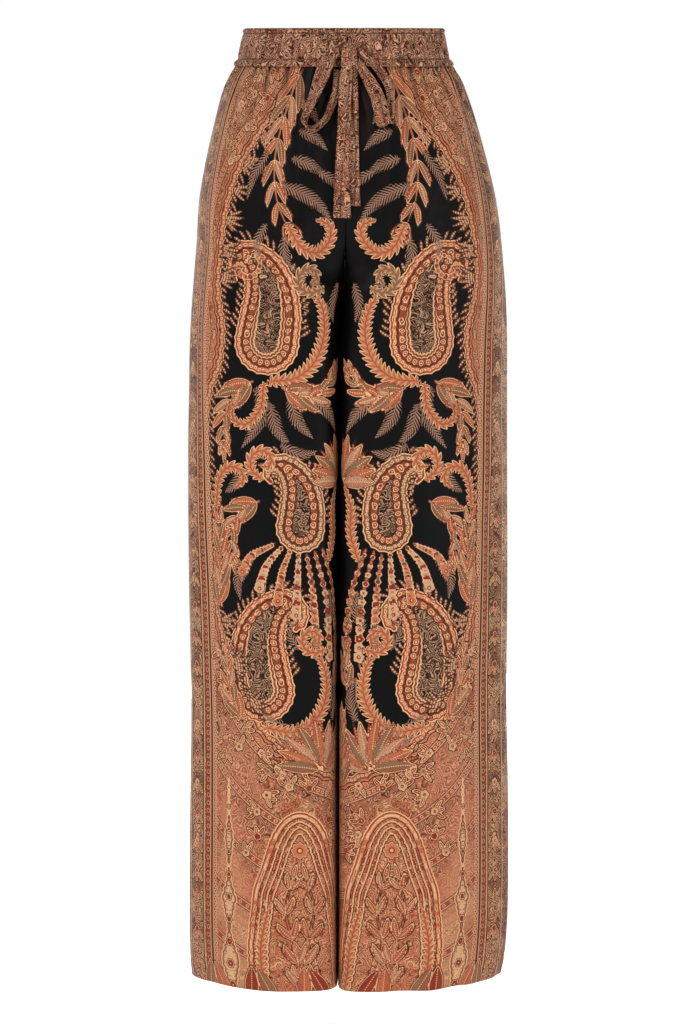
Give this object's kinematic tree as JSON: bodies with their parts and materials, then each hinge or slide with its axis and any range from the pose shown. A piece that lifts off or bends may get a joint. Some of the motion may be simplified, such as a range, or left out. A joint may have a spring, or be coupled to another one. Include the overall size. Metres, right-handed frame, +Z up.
{
  "type": "wide-leg drawstring trousers",
  "caption": "Silky wide-leg pull-on trousers, filled out as worn, with a gathered elastic waistband, a cloth drawstring tied in a bow and an all-over leaf and paisley print.",
  "frame": {"origin": "centre of the waist opening, at half the height of the waistband, where the wearer holds the trousers up", "axes": "+Z up the body, -Y the front of the trousers, +X the wearer's left"},
  "size_m": [0.3657, 0.2425, 1.0815],
  "materials": {
    "printed_cloth": "silky satin twill, printed with leaves, flowers and paisleys on black",
    "band_cloth": "the same cloth in a small scroll print, gathered over elastic",
    "tie_cloth": "the same cloth in a small scroll print, sewn as a flat tie"
  },
  "bodies": {
    "root": {"waistband": "band_cloth", "front_left": "printed_cloth", "front_right": "printed_cloth", "back_left": "printed_cloth", "back_right": "printed_cloth", "tie_knot": "tie_cloth", "tie_loop_left": "tie_cloth", "tie_loop_right": "tie_cloth", "tie_tail_left": "tie_cloth", "tie_tail_right": "tie_cloth"}
  },
  "joints": []
}
